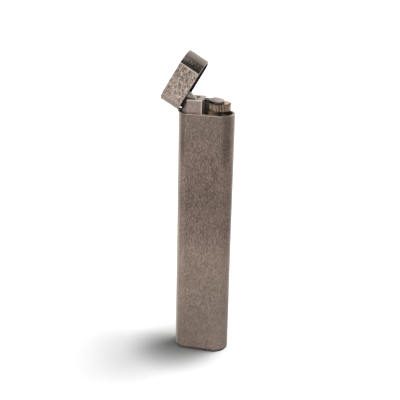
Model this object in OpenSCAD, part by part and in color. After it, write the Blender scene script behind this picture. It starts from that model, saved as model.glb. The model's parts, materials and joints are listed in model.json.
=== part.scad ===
// Slim flip-top gas pocket lighter, standing on its foot with the lid open.
// X runs along the width with the lid hinge at -X, Y along the depth, Z up.
// The origin is the centre of the foot. All sizes are in millimetres.

/* [Case] */
// Width of the case across its narrow ends
body_w = 16; // [15.8:0.1:16.6]
// Depth of the case between its two broad faces
body_d = 8.6; // [8.6:0.1:9.2]
// Width of the flat part of a broad face, from crease to crease
flat_w = 9.9; // [9.6:0.1:10.2]
// Height of the case from the foot to the rim
body_h = 73.1; // [70:0.1:78]
// Wall of the outer sleeve
sleeve_t = 0.45; // [0.4:0.05:0.45]
// Wall of the fuel tank that lines the sleeve
tank_t = 0.35; // [0.3:0.05:0.35]
// Radius that breaks the bottom edge of the sleeve
foot_r = 0.4; // [0.2:0.1:0.5]

/* [Lid] */
// Height of the lid
lid_h = 6.1; // [6:0.1:7]
// Joint line between the closed lid and the rim
lid_gap = 0.15; // [0.1:0.05:0.2]
// Wall of the lid
lid_t = 0.45; // [0.4:0.05:0.5]
// Radius round the top edge of the lid
lid_round = 0.3; // [0.2:0.1:0.8]
// Angle at which the open lid rests on its stop
lid_open = 60; // [55:1:62]

/* [Thumb wheel] */
// Diameter of the wheel over its knurl
wheel_d = 6; // [5.8:0.1:6]
// Height of the wheel
wheel_h = 2.1; // [1.9:0.1:2.1]
// Distance of the wheel axle from the middle of the case
wheel_x = 3.7; // [3.6:0.05:3.8]
// Number of teeth of the knurl
knurl_teeth = 42; // [36:1:48]
// Depth of the knurl
knurl_depth = 0.22; // [0.15:0.01:0.25]
// Number of file cuts on the striker
striker_cuts = 20; // [12:1:24]

/* [Flint] */
// Diameter of the flint
flint_d = 2.4; // [2.3:0.05:2.4]
// Length of a new flint
flint_l = 4.5; // [3.5:0.1:5]
// Coils of the long flint spring
flint_coils = 28; // [22:1:30]

/* [Head] */
// Height of the wind guard above the rim
guard_h = 3.8; // [3.8:0.05:3.9]
// Thickness of the wind guard's sheet
guard_t = 0.4; // [0.35:0.05:0.45]
// Radius of the wind guard's back corner beside the wheel
guard_corner = 0.9; // [0.6:0.1:0.9]
// Radius of the bridge's domed head over the wheel
bridge_r = 2.6; // [2.5:0.05:2.65]
// Rise of the bridge's dome above its plate
bridge_rise = 0.6; // [0.5:0.05:0.7]

/* [Burner valve] */
// Lift of the burner nozzle when the lid opens
nozzle_lift = 0.55; // [0.5:0.01:0.55]
// Radius of the burner nozzle
nozzle_r = 0.75; // [0.7:0.05:0.75]
// Radius of the jet
jet_r = 0.2; // [0.1:0.05:0.25]

/* [Hidden] */
$fn = 64;

// A hair of extra length that lets a cut run past the face it opens
cut = 0.5;

// The rounded ends of the section are arcs through the creases and the tips
half_w = body_w / 2;
half_d = body_d / 2;
half_flat = flat_w / 2;
end_x = (half_w * half_w - half_flat * half_flat - half_d * half_d) / (2 * (half_w - half_flat));
end_r = half_w - end_x;

// Levels, most of them measured from the rim
rim = body_h;
base_t = 1.6;
deck_t = 0.6;
deck_top = rim - 1.2;
deck_low = deck_top - deck_t;
tank_top = rim - 5.2;
tank_lid_t = 0.7;
tank_in = sleeve_t + tank_t;
plug_low = 0.4;
slot_w = 0.5;
slot_deep = 0.6;

// Lid hinge, on the outer edge of the case at the rim
hinge_x = -half_w + 0.15;
hinge_z = rim + 0.05;
knuckle_r = 0.35;
hinge_pin_r = 0.18;
hinge_half = 1.1;
middle_half = 0.45;
knuckle_gap = 0.05;
notch_half = hinge_half + 0.15;
lid_notch_half = 1.75;
notch_deep = 0.6;
leaf_right = -6.65;
lid_fillet = 0.15;

// Lid arm, a curved horn that turns about the hinge and slides through the guard
arm_in_r = 4.1;
arm_out_r = 6.3;
arm_tip = -33;
arm_root = 62;
arm_front = -1.85;
arm_back = -0.6;
stop_r = 5.2;
stop_angle = -23.4;
stop_pin_r = 0.2;
frame_t = 0.4;
frame_top = rim + lid_gap + lid_h - lid_t;
frame_low = frame_top - frame_t;

// Wind guard round the burner, its hinge end just inside the tank's wall
guard_inset = tank_in + 0.05;
guard_right = -0.75;
guard_half = 3.4;
guard_top = rim + guard_h;
window_low = rim - 0.4;
window_front = -2.9;
window_back = 2.4;

// Thumb wheel and its bearing
wheel_low = rim + 0.8;
wheel_top = wheel_low + wheel_h;
axle_r = 0.5;
running = 0.05;
striker_t = 0.5;
striker_r = wheel_d / 2 - 0.5;
washer_t = 0.15;
bridge_low = wheel_top + running + washer_t;
bridge_t = guard_top - guard_t - bridge_low;
head_plate = 0.7;
bridge_x = 2.45;
bridge_y = -0.95;
neck_front = [guard_right - 0.2, 0.5];
neck_back = [guard_right - 0.2, 2.4];
front_leg = [-0.4, 0.9];
back_leg = 1.15;

// Flint column, beside the axle and under the file cuts
flint_x = wheel_x - 2.05;
flint_r = flint_d / 2;
flint_bore = flint_r + running;
flint_tube_r = flint_bore + 0.2;
flint_top = wheel_low - 0.03;
flint_low = flint_top - flint_l;
pusher_head = 2.2;
pusher_rod = 6;
flint_screw_top = 6;

// Burner valve under the guard
valve_x = -3;
valve_y = 0.9;
valve_r = 1.6;
valve_bore = 1.1;
stem_r = 0.5;
valve_low = rim - 17;
socket_top = rim - 14.6;
valve_seat = rim - 13.6;
feed_r = 0.9;
collar_low = rim - 2.63;
collar_t = 0.33;
collar_r = 1.1;
piston_top = rim - 12;
piston_t = 0.5;
gland_deep = 0.9;
gland_flange_r = 1.75;
gland_flange_t = 0.3;
gland_seal_t = 0.25;

// Lever that lifts the nozzle while the lid is open
lever_x = -0.75;
lever_z = rim - 3;
lever_t = 0.4;
lever_half = 2.3;
lever_left = -4.2;
lever_hub_r = 0.6;
lever_pin_r = 0.3;
lug_t = 0.5;

// Flame adjuster and filler valve in the foot
adjust_x = valve_x;
adjust_r = 2.2;
adjust_bore = 1.5;
adjust_top = 12.8;
filler_x = 5.3;
filler_r = 1.7;
filler_bore = 1.1;
filler_top = 9.4;

// Springs: wire radius and the rings that one coil is drawn with
wire_r = 0.12;
coil_rings = 8;
wire_sides = 6;

// Cross-section of the case, drawn in from its outside by inset
module outline(inset = 0) {
    intersection() {
        square([2 * body_w, 2 * (half_d - inset)], center = true);
        union() {
            square([2 * end_x, 2 * body_d], center = true);
            for (side = [-1, 1]) translate([side * end_x, 0]) circle(r = end_r - inset);
        }
    }
}

module case_prism(inset, low, high) {
    translate([0, 0, low]) linear_extrude(high - low) outline(inset);
}

// Prism of the case's section whose top edge is rounded all the way round
module capped(inset, height, round_r) {
    intersection() {
        rotate([90, 0, 90]) linear_extrude(2 * body_w, center = true)
            rounded_top(half_d - inset, height, round_r);
        union() {
            translate([-end_x, -body_d, 0]) cube([2 * end_x, 2 * body_d, height]);
            for (side = [-1, 1]) translate([side * end_x, 0, 0])
                rotate_extrude() intersection() {
                    rounded_top(end_r - inset, height, round_r);
                    square([body_w, height]);
                }
        }
    }
}

module rounded_top(half, height, round_r) {
    translate([-half, 0]) square([2 * half, height - round_r]);
    translate([round_r - half, 0]) square([2 * (half - round_r), height]);
    for (side = [-1, 1]) translate([side * (half - round_r), height - round_r]) circle(r = round_r);
}

module rod(x, y, r, low, high) {
    translate([x, y, low]) cylinder(r = r, h = high - low);
}

module pin_along_y(x, z, r, from_y, to_y) {
    translate([x, to_y, z]) rotate([90, 0, 0]) cylinder(r = r, h = to_y - from_y);
}

module ring(x, y, outer_r, inner_r, low, high) {
    difference() {
        rod(x, y, outer_r, low, high);
        rod(x, y, inner_r, low - cut, high + cut);
    }
}

module block(from, to) {
    translate(from) cube(to - from);
}

// One ring of points round the wire, step rings along a coil spring
function coil_ring(mean_r, wire, pitch, step) = [
    for (side = [0 : wire_sides - 1])
        let (turn = 360 * step / coil_rings, round = 360 * side / wire_sides,
             reach = mean_r + wire * cos(round))
        [reach * cos(turn), reach * sin(turn), pitch * step / coil_rings + wire * sin(round)]
];

function coil_gap(mean_r, wire, pitch) = min([
    for (a = coil_ring(mean_r, wire, pitch, 0), b = coil_ring(mean_r, wire, pitch, coil_rings))
        norm(a - b)
]);

// Compression spring, one unbroken wire between two levels
module spring(x, y, mean_r, wire, low, high, coils) {
    pitch = (high - low - 2 * wire) / coils;
    last = coils * coil_rings;
    echo(least_gap = coil_gap(mean_r, wire, pitch));
    points = [for (step = [0 : last]) each coil_ring(mean_r, wire, pitch, step)];
    walls = [
        for (step = [0 : last - 1], side = [0 : wire_sides - 1])
            let (a = step * wire_sides + side, b = step * wire_sides + (side + 1) % wire_sides)
            each [[a, a + wire_sides, b], [b, a + wire_sides, b + wire_sides]]
    ];
    caps = [
        for (side = [1 : wire_sides - 2])
            each [[0, side, side + 1],
                  [last * wire_sides, last * wire_sides + side + 1, last * wire_sides + side]]
    ];
    translate([x, y, low + wire]) polyhedron(points = points, faces = concat(walls, caps));
}

// Turns a lid piece, drawn shut, to the angle at which the lid rests open
module opened() {
    translate([hinge_x, 0, hinge_z]) rotate([0, -lid_open, 0]) translate([-hinge_x, 0, -hinge_z])
        children();
}

module rim_notch() {
    block([-body_w, -notch_half, rim - notch_deep], [-6.9, notch_half, rim + cut]);
}

module body_shell() {
    color("#8f867e") difference() {
        translate([0, 0, rim]) mirror([0, 0, 1]) capped(0, rim, foot_r);
        case_prism(sleeve_t, -cut, rim + cut);
        rim_notch();
    }
}

module fuel_tank() {
    color("#b9a273") difference() {
        case_prism(sleeve_t, base_t, rim);
        case_prism(tank_in, base_t - cut, tank_top - tank_lid_t);
        case_prism(tank_in, tank_top, rim + cut);
        rod(valve_x, valve_y, valve_r, base_t, rim);
        rod(flint_x, 0, flint_tube_r, base_t, rim);
        rim_notch();
    }
}

module base_plate() {
    color("#a89a86") difference() {
        case_prism(sleeve_t, 0, base_t);
        rod(adjust_x, 0, adjust_r, -cut, base_t + cut);
        rod(flint_x, 0, flint_tube_r, -cut, base_t + cut);
        rod(filler_x, 0, filler_r, -cut, base_t + cut);
    }
}

// Plate inside the rim that carries the head, with two lugs below for the lever's pin
module deck_plate() {
    color("#9a8a72") difference() {
        union() {
            case_prism(tank_in, deck_low, deck_top);
            for (side = [-1, 1])
                translate([lever_x, side * (lever_half + 0.1 + lug_t / 2), lever_z + 0.3])
                    cube([1.2, lug_t, 2 * (deck_low - lever_z - 0.3)], center = true);
        }
        block([-4.4, arm_front - 0.6, deck_low - cut], [-1.45, arm_back + 0.1, deck_top + cut]);
        rod(valve_x, valve_y, nozzle_r + 0.1, deck_low - cut, deck_top + cut);
        rod(flint_x, 0, flint_tube_r, deck_low - cut, deck_top + cut);
        rod(wheel_x, 0, axle_r, deck_low - cut, deck_top + cut);
        pin_along_y(lever_x, lever_z, lever_pin_r, -body_d, body_d);
    }
}

// Section of the guard: its left end runs along the rounded end of the case
module guard_outline(inset) {
    intersection() {
        outline(guard_inset + inset);
        union() {
            translate([-body_w, inset - guard_half])
                square([body_w + guard_right - guard_corner, 2 * (guard_half - inset)]);
            translate([-body_w, inset - guard_half])
                square([body_w + guard_right - inset, 2 * guard_half - guard_corner - inset]);
            translate([guard_right - guard_corner, guard_half - guard_corner])
                circle(r = guard_corner - inset);
        }
    }
}

// Folded guard round the burner, open below and towards the wheel
module wind_guard() {
    color("#b3a59d") difference() {
        translate([0, 0, deck_top]) linear_extrude(guard_top - deck_top) guard_outline(0);
        translate([0, 0, deck_top - cut])
            linear_extrude(guard_top - guard_t - deck_top + cut) guard_outline(guard_t);
        block([guard_right - guard_t - cut, window_front, window_low],
              [guard_right + cut, window_back, guard_top - guard_t]);
        block([-body_w, -notch_half, deck_top - cut], [leaf_right + 0.2, notch_half, rim - 0.05]);
        block([-6.35, arm_front - 0.15, guard_top - guard_t - 0.2],
              [-2.3, arm_back + 0.15, guard_top + cut]);
        rod(valve_x, valve_y, 1, rim + 2, guard_top + cut);
    }
}

// Plan of the domed head over the wheel: a disc, cut straight at its left
module head_disc() {
    difference() {
        translate([bridge_x, bridge_y]) circle(r = bridge_r, $fn = 128);
        translate(neck_front) rotate(-45) translate([-body_d, -body_d]) square([3 * body_d, body_d]);
    }
}

// Plan of the plate that joins the head to the guard, in line with the head's straight side
module neck_outline() {
    over = bridge_x - neck_front[0];
    polygon([neck_front, neck_front + [over, -over], [bridge_x, bridge_y],
             [bridge_x, bridge_y + bridge_r], [back_leg, neck_back[1]], neck_back]);
}

// Bridge from the guard over the wheel, with a domed head, on a leg in front and one behind the wheel
module wheel_bridge() {
    dome_r = (bridge_r * bridge_r + bridge_rise * bridge_rise) / (2 * bridge_rise);
    color("#a49c96") difference() {
        union() {
            translate([0, 0, bridge_low]) linear_extrude(head_plate) head_disc();
            translate([0, 0, bridge_low]) linear_extrude(bridge_t) neck_outline();
            intersection() {
                translate([bridge_x, bridge_y, bridge_low + head_plate]) rotate_extrude($fn = 128)
                    intersection() {
                        translate([0, bridge_rise - dome_r]) circle(r = dome_r, $fn = 360);
                        square([bridge_r, bridge_rise]);
                    }
                translate([0, 0, bridge_low]) linear_extrude(2) head_disc();
            }
            block([-1.9, window_front + 0.1, bridge_low],
                  [guard_right, window_back, bridge_low + bridge_t]);
            block([guard_right - guard_t, front_leg[0], window_low],
                  [guard_right, front_leg[1], bridge_low]);
            block([guard_right + 0.05, window_back - 0.4, deck_top], [back_leg, window_back, bridge_low]);
        }
        rod(wheel_x, 0, axle_r, bridge_low - cut, bridge_low + bridge_t);
    }
}

module wheel_axle() {
    color("#8d8478") rod(wheel_x, 0, axle_r, deck_low, bridge_low + bridge_t);
}

module wheel_washer() {
    color("#b9a273") ring(wheel_x, 0, 1.3, axle_r, wheel_top + running, bridge_low);
}

module knurl_outline() {
    polygon([
        for (edge = [0 : 2 * knurl_teeth - 1])
            let (r = wheel_d / 2 - (edge % 2) * knurl_depth, turn = 180 * edge / knurl_teeth)
            [r * cos(turn), r * sin(turn)]
    ]);
}

module thumb_wheel() {
    color("#8c7458") difference() {
        translate([wheel_x, 0, wheel_low]) linear_extrude(wheel_h) knurl_outline();
        rod(wheel_x, 0, axle_r + running, wheel_low - cut, wheel_top + cut);
        rod(wheel_x, 0, striker_r, wheel_low - cut, wheel_low + striker_t);
    }
}

// Hardened disc let into the wheel, with file cuts that meet the flint
module striker() {
    color("#5d5a58") difference() {
        ring(wheel_x, 0, striker_r, axle_r + running, wheel_low, wheel_low + striker_t);
        for (step = [0 : striker_cuts - 1])
            translate([wheel_x, 0, wheel_low]) rotate([0, 0, 360 * step / striker_cuts])
                translate([0.9, 0.3, 0]) rotate([90, 0, 90]) linear_extrude(striker_r)
                    polygon([[-0.12, -0.1], [0.12, -0.1], [0.02, 0.14]]);
    }
}

module flint_tube() {
    color("#b08d57") ring(flint_x, 0, flint_tube_r, flint_bore, plug_low, rim + 0.45);
}

module flint() {
    color("#55504c") rod(flint_x, 0, flint_r, flint_low, flint_top);
}

module flint_pusher() {
    color("#b08d57") {
        rod(flint_x, 0, flint_r - 0.05, flint_low - pusher_head, flint_low);
        rod(flint_x, 0, 0.6, flint_low - pusher_head - pusher_rod, flint_low - pusher_head);
    }
}

module flint_spring() {
    color("#8f8f8f")
        spring(flint_x, 0, 0.95, 0.15, flint_screw_top, flint_low - pusher_head, flint_coils);
}

module slotted_plug(x, r, low, high) {
    difference() {
        rod(x, 0, r, low, high);
        translate([x, 0, low]) cube([3 * r, slot_w, 2 * slot_deep], center = true);
    }
}

module flint_screw() {
    color("#b08d57") slotted_plug(flint_x, flint_r, plug_low + 0.1, flint_screw_top);
}

module valve_body() {
    color("#b08d57") difference() {
        rod(valve_x, valve_y, valve_r, valve_low, tank_top);
        rod(valve_x, valve_y, valve_bore, valve_seat, tank_top + cut);
        rod(valve_x, valve_y, 0.3, socket_top - cut, valve_seat + cut);
        rod(valve_x, valve_y, feed_r, valve_low - cut, socket_top);
    }
}

module valve_gland() {
    color("#b08d57") difference() {
        union() {
            rod(valve_x, valve_y, valve_bore, tank_top - gland_deep, tank_top);
            rod(valve_x, valve_y, gland_flange_r, tank_top, tank_top + gland_flange_t);
        }
        rod(valve_x, valve_y, stem_r + 0.06, tank_top - 2, tank_top + 2);
        translate([valve_x, valve_y, tank_top + gland_flange_t])
            cube([4 * valve_r, slot_w, 0.3], center = true);
    }
}

module gland_seal() {
    color("#2c2c2c") ring(valve_x, valve_y, valve_bore, stem_r + 0.03,
                          tank_top - gland_deep - gland_seal_t, tank_top - gland_deep);
}

// Jet, lifting collar, stem and piston turned from one bar
module burner_nozzle() {
    color("#6d5a45") difference() {
        translate([valve_x, valve_y, 0]) rotate_extrude() polygon([
            [0, piston_top - piston_t], [valve_bore - 0.1, piston_top - piston_t],
            [valve_bore - 0.1, piston_top], [stem_r, piston_top],
            [stem_r, collar_low], [collar_r, collar_low],
            [collar_r, collar_low + collar_t], [nozzle_r, collar_low + collar_t],
            [nozzle_r, rim + 2.3], [nozzle_r - 0.3, rim + 2.7], [0, rim + 2.7]
        ]);
        rod(valve_x, valve_y, jet_r, rim - 1, rim + 3);
    }
}

module nozzle_seal() {
    color("#2c2c2c") rod(valve_x, valve_y, valve_bore - 0.2,
                         valve_seat + nozzle_lift + 0.01, piston_top - piston_t);
}

module valve_spring() {
    color("#8f8f8f") spring(valve_x, valve_y, 0.8, wire_r, piston_top,
                            tank_top - gland_deep - gland_seal_t, 6);
}

module gas_filter() {
    color("#9c8f7a") rod(valve_x, valve_y, feed_r, socket_top - 1, socket_top);
}

module feed_tube() {
    color("#b08d57") ring(valve_x, valve_y, feed_r, feed_r - 0.4, adjust_top - 1.2, socket_top - 1);
}

// Forked lever under the deck: the fork's pads lift the nozzle's collar
module valve_lever() {
    color("#9a9088") difference() {
        union() {
            pin_along_y(lever_x, lever_z, lever_hub_r, -lever_half, lever_half);
            block([lever_left, -lever_half, lever_z - lever_t], [lever_x, lever_half, lever_z]);
            pin_along_y(valve_x, lever_z + 0.02, 0.33, valve_y - 1.1, valve_y + 1.1);
        }
        pin_along_y(lever_x, lever_z, lever_pin_r + running + 0.01, -body_d, body_d);
        rod(valve_x, valve_y, stem_r + 0.15, lever_z - 2, lever_z + 2);
        block([lever_left - cut, valve_y - stem_r - 0.15, lever_z - 2],
              [valve_x, valve_y + stem_r + 0.15, lever_z + 2]);
    }
}

module lever_pin() {
    color("#8d8478") pin_along_y(lever_x, lever_z, lever_pin_r,
                                 -lever_half - 0.1 - lug_t, lever_half + 0.1 + lug_t);
}

module lever_spring() {
    color("#8f8f8f") spring(-2.3, -1.7, 0.45, 0.1, tank_top, lever_z - lever_t, 2.5);
}

// Leaf in the guard that bears on the flank of the lid's arm and holds the lid where it is put
module detent_spring() {
    inside = guard_t - guard_half;
    color("#a8a29a") translate([0, 0, rim + 0.3]) linear_extrude(0.6) polygon([
        [-4.75, inside], [-4.4, inside], [-3.62, arm_front - 0.22], [-2.5, inside],
        [-2.35, inside + 0.1], [-3.6, arm_front - 0.05], [-4.42, inside + 0.15], [-4.75, inside + 0.15]
    ]);
}

module adjuster_body() {
    color("#b08d57") difference() {
        rod(adjust_x, 0, adjust_r, plug_low, adjust_top);
        rod(adjust_x, 0, adjust_bore, plug_low - cut, 9);
        rod(valve_x, valve_y, 0.3, 9 - cut, adjust_top);
        rod(valve_x, valve_y, feed_r, adjust_top - 1.2, adjust_top + cut);
        translate([adjust_x, 0, 8.5]) rotate([0, -90, 0]) cylinder(r = 0.3, h = 2 * adjust_r);
    }
}

module adjuster_screw() {
    color("#b08d57") difference() {
        slotted_plug(adjust_x, adjust_bore - running, plug_low + 0.1, 7.3);
        ring(adjust_x, 0, adjust_bore + cut, 1, 4, 4.7);
    }
}

module adjuster_o_ring() {
    color("#2c2c2c") translate([adjust_x, 0, 4.35]) rotate_extrude() translate([1.23, 0])
        circle(r = 0.23);
}

module metering_foam() {
    color("#6f6f6a") rod(adjust_x, 0, adjust_bore, 7.4, 8);
}

module filler_body() {
    color("#b08d57") difference() {
        rod(filler_x, 0, filler_r, plug_low, filler_top);
        rod(filler_x, 0, 0.7, plug_low - cut, 2);
        rod(filler_x, 0, filler_bore, 1.4, filler_top - 1);
        rod(filler_x, 0, 0.4, filler_top - 2, filler_top + cut);
    }
}

module filler_stem() {
    color("#b08d57") difference() {
        union() {
            rod(filler_x, 0, 0.62, plug_low + 0.1, 4);
            rod(filler_x, 0, filler_bore - 0.1, 2, 2.5);
        }
        rod(filler_x, 0, 0.25, 0, 3);
    }
}

module filler_seal() {
    color("#2c2c2c") ring(filler_x, 0, filler_bore - 0.1, 0.62, 1.42, 2);
}

module filler_spring() {
    color("#8f8f8f") spring(filler_x, 0, 0.82, wire_r, 2.5, filler_top - 1, 6);
}

// Fixed half of the hinge: two knuckles on a bent leaf that seats in the notch of the rim
module hinge_leaf() {
    color("#5f554b") difference() {
        union() {
            pin_along_y(hinge_x, hinge_z, knuckle_r, -hinge_half, hinge_half);
            intersection() {
                block([hinge_x, -hinge_half, rim - notch_deep], [leaf_right, hinge_half, rim - 0.15]);
                case_prism(0, rim - 2, rim);
            }
            intersection() {
                block([-body_w, -hinge_half, deck_top], [leaf_right, hinge_half, rim - 0.15]);
                case_prism(tank_in, deck_top, rim);
            }
        }
        pin_along_y(hinge_x, hinge_z, knuckle_r + 0.08,
                    -middle_half - knuckle_gap, middle_half + knuckle_gap);
        pin_along_y(hinge_x, hinge_z, hinge_pin_r, -body_d, body_d);
    }
}

module hinge_pin() {
    color("#8d8478") pin_along_y(hinge_x, hinge_z, hinge_pin_r, -hinge_half, hinge_half);
}

// Lid with a notch for the hinge; a tab left in the notch is rolled into the middle knuckle
module lid_shell() {
    color("#a39a91") opened() difference() {
        union() {
            difference() {
                translate([0, 0, rim + lid_gap]) capped(0, lid_h, lid_round);
                translate([0, 0, rim + lid_gap - cut])
                    capped(lid_t, lid_h - lid_t + cut, lid_fillet);
                for (side = [-1, 1])
                    translate([-body_w, side * (lid_notch_half + middle_half) / 2, rim])
                        cube([2 * (body_w - 7), lid_notch_half - middle_half, 1.2], center = true);
            }
            pin_along_y(hinge_x, hinge_z, knuckle_r, -middle_half, middle_half);
        }
        pin_along_y(hinge_x, hinge_z, hinge_pin_r + running, -body_d, body_d);
    }
}

// Inner plate under the lid's top
module lid_frame() {
    color("#b9a273") opened() case_prism(lid_t + 0.25, frame_low, frame_top);
}

module lid_arm() {
    sweep = arm_root - arm_tip;
    color("#a79d90") opened() union() {
        intersection() {
            translate([hinge_x, arm_back, hinge_z]) rotate([90, 0, 0]) linear_extrude(arm_back - arm_front)
                rotate([0, 0, arm_tip]) intersection() {
                    difference() {
                        circle(r = arm_out_r);
                        circle(r = arm_in_r);
                    }
                    polygon([[0, 0], [20, 0], 20 * [cos(sweep / 2), sin(sweep / 2)],
                             20 * [cos(sweep), sin(sweep)]]);
                }
            block([-body_w, -body_d, 0], [body_w, body_d, frame_low]);
        }
        block([-6.3, arm_front, guard_top + 0.2], [-4.2, arm_back, frame_low]);
    }
}

// Pin in the arm's flank that meets the guard's roof when the lid is fully open
module stop_pin() {
    color("#8d8478") opened()
        pin_along_y(hinge_x + stop_r * cos(stop_angle), hinge_z + stop_r * sin(stop_angle), stop_pin_r,
                    arm_front - 0.45, arm_front);
}

body_shell();
fuel_tank();
base_plate();
deck_plate();
wind_guard();
wheel_bridge();
wheel_axle();
wheel_washer();
thumb_wheel();
striker();
flint_tube();
flint();
flint_pusher();
flint_spring();
flint_screw();
valve_body();
valve_gland();
gland_seal();
burner_nozzle();
nozzle_seal();
valve_spring();
gas_filter();
feed_tube();
valve_lever();
lever_pin();
lever_spring();
detent_spring();
adjuster_body();
adjuster_screw();
adjuster_o_ring();
metering_foam();
filler_body();
filler_stem();
filler_seal();
filler_spring();
hinge_leaf();
hinge_pin();
lid_shell();
lid_frame();
lid_arm();
stop_pin();
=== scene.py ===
"""Looks of a slim flip-top gas lighter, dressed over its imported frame.

The lighter stands on its foot with the lid open. Lengths are in metres, X runs along the width with
the hinge at -X, Y through the depth away from the camera, and Z up from the foot.
"""

import json
import math

import bmesh
import bpy
from mathutils import Matrix, Vector


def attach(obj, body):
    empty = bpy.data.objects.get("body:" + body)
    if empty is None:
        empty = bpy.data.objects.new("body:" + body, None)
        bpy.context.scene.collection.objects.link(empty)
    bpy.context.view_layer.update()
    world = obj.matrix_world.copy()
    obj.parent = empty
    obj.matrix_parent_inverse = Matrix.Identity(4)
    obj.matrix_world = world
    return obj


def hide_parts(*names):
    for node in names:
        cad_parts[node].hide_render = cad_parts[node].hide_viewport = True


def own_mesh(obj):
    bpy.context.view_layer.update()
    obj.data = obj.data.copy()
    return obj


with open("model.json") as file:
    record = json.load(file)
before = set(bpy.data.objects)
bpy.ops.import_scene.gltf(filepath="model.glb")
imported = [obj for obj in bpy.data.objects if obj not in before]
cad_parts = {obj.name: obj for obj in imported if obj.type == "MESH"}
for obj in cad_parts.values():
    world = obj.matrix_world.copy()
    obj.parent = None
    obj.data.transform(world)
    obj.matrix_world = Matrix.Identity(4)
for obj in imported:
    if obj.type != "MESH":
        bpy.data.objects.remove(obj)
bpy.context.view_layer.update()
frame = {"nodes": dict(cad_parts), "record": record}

MM = 0.001

# Section of the case: two broad flats joined by rounded ends
HALF_WIDTH = 8.0 * MM
HALF_DEPTH = 4.3 * MM
HALF_FLAT = 4.95 * MM
END_X = (HALF_WIDTH**2 - HALF_FLAT**2 - HALF_DEPTH**2) / (2 * (HALF_WIDTH - HALF_FLAT))
END_RADIUS = HALF_WIDTH - END_X

# Heights and the lid's hinge
RIM = 73.1 * MM
SLEEVE_WALL = 0.45 * MM
LID_GAP = 0.15 * MM
LID_HEIGHT = 6.1 * MM
LID_WALL = 0.45 * MM
LID_ROUND = 0.3 * MM
HINGE = Vector((-7.85 * MM, 0, RIM + 0.05 * MM))
LID_OPEN = math.radians(60)
KNUCKLE = 0.35 * MM
KNUCKLE_BORE = 0.23 * MM
TAB_HALF = 0.45 * MM
LID_NOTCH_HALF = 1.75 * MM
LID_NOTCH_X = -7 * MM
RIM_NOTCH_HALF = 1.25 * MM
RIM_NOTCH_X = -6.9 * MM
NOTCH_HEIGHT = 0.6 * MM

# Wind guard
GUARD_INSET = 0.85 * MM
GUARD_RIGHT = -0.75 * MM
GUARD_HALF = 3.4 * MM
GUARD_LOW = RIM - 1.2 * MM
GUARD_TOP = RIM + 3.8 * MM
GUARD_SHEET = 0.4 * MM
GUARD_CORNER = 0.9 * MM
GUARD_FOLD = 0.16 * MM
WINDOW_LOW = RIM - 0.4 * MM
WINDOW_FRONT = -2.9 * MM
WINDOW_BACK = 2.4 * MM
GUARD_CREASE = -END_X - math.sqrt((END_RADIUS - GUARD_INSET)**2 - GUARD_HALF**2)
ARM_SLOT = (-6.35 * MM, -2.3 * MM)
ARM_SLACK = 0.15 * MM
JET = Vector((-3.0 * MM, 0.9 * MM, 0))
PORT_RADIUS = 1.0 * MM

# Lid arm
ARM_INNER = 4.1 * MM
ARM_OUTER = 6.3 * MM
ARM_FRONT = -1.85 * MM
ARM_BACK = -0.6 * MM
ARM_TIP = math.radians(-33)
ARM_ROOT = math.radians(62)
ARM_EDGE = 0.08 * MM
LID_PLATE = 0.4 * MM

# Thumb wheel and the bridge over it
WHEEL_X = 3.7 * MM
WHEEL_RADIUS = 3.0 * MM
WHEEL_LOW = RIM + 0.8 * MM
WHEEL_TOP = RIM + 2.9 * MM
KNURL_TEETH = 42
KNURL_DEPTH = 0.22 * MM
WHEEL_CHAMFER = 0.14 * MM
WHEEL_BORE = 0.55 * MM
STRIKER_RECESS = 2.5 * MM
STRIKER_DEPTH = 0.5 * MM
HEAD = Vector((2.45 * MM, -0.95 * MM, RIM + 3.1 * MM))
HEAD_RADIUS = 2.6 * MM
HEAD_WALL = 0.7 * MM
HEAD_RISE = 0.6 * MM
HEAD_CUT = Vector((-1, -1, 0)).normalized()
DROOP_REACH = 2.0 * MM
DROOP_FALL = 0.6 * MM
DROOP_LOW = 0.3 * MM
NECK_PLATE = 0.3 * MM
NECK_LEFT = GUARD_RIGHT - 0.2 * MM
NECK_FRONT = Vector((NECK_LEFT, 0.5 * MM))
NECK_BACK_CUT = Vector((0.75, 1.3, 0))
TONGUE_LEFT = -1.9 * MM
TONGUE_FRONT = WINDOW_FRONT + 0.1 * MM

# Legs of the bridge: the front one's stretch along Y, the back one's along X
FRONT_LEG = (-0.4 * MM, 0.9 * MM)
BACK_LEG = (GUARD_RIGHT + 0.05 * MM, 1.15 * MM)
BACK_LEG_SHEET = 0.4 * MM

# Steps in a round, the angle from which creases stay crisp, and how close points count as one
ROUND_STEPS = 28
CRISP = 14
WELD = 1e-7
TOUCHING = 1e-8

# Where cutters from the hinge's side start, and how far cutters reach past a piece
OUTSIDE = -12 * MM
PAST = 1 * MM

# Ramps, here and below, are (start, end), and the values there unless these are 0 and 1

# Painted highlights and painted shade on the case, with paler bands and a darker band, along X at its
# ends and along Z elsewhere
HINGE_END_HIGHLIGHT = (-6.2 * MM, -7.2 * MM, 0.0, 0.55)
LOWER_PALER = (38 * MM, 28 * MM, 0.0, 0.12)
FOOT_PALER = (22 * MM, 8 * MM, 0.0, 0.05)
UPPER_PALER = (60 * MM, 72 * MM, 0.0, 0.12)
HINGE_END_DARK = ((-5.0 * MM, -5.3 * MM), (-7.0 * MM, -6.4 * MM))
WHEEL_END_DARK = ((4.9 * MM, 6.1 * MM), (7.6 * MM, 7.0 * MM))
TOP_DARK = (54 * MM, 64 * MM, 0.0, 0.57)
MIDDLE_DARK = ((33 * MM, 47 * MM), (62 * MM, 50 * MM, 0.0, 0.35))
FOOT_LINE = (0.85 * MM, 0.45 * MM)

# Bark wearing plain on the lid's ends, painted shade beyond its ridge and a darker hinge end, along X
# while it is shut
BARK_END = (HALF_FLAT - 0.02 * MM, HALF_FLAT + 0.1 * MM)
BARK_FADE = (-4.1 * MM, -5.7 * MM)
FAR_END_SHADE = ((HALF_FLAT, HALF_FLAT + 0.1 * MM, 0.0, 0.35), (7.2 * MM, 6.0 * MM))
NEAR_END_DARKER = (-4.6 * MM, -6.0 * MM, 0.0, 0.22)
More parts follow.
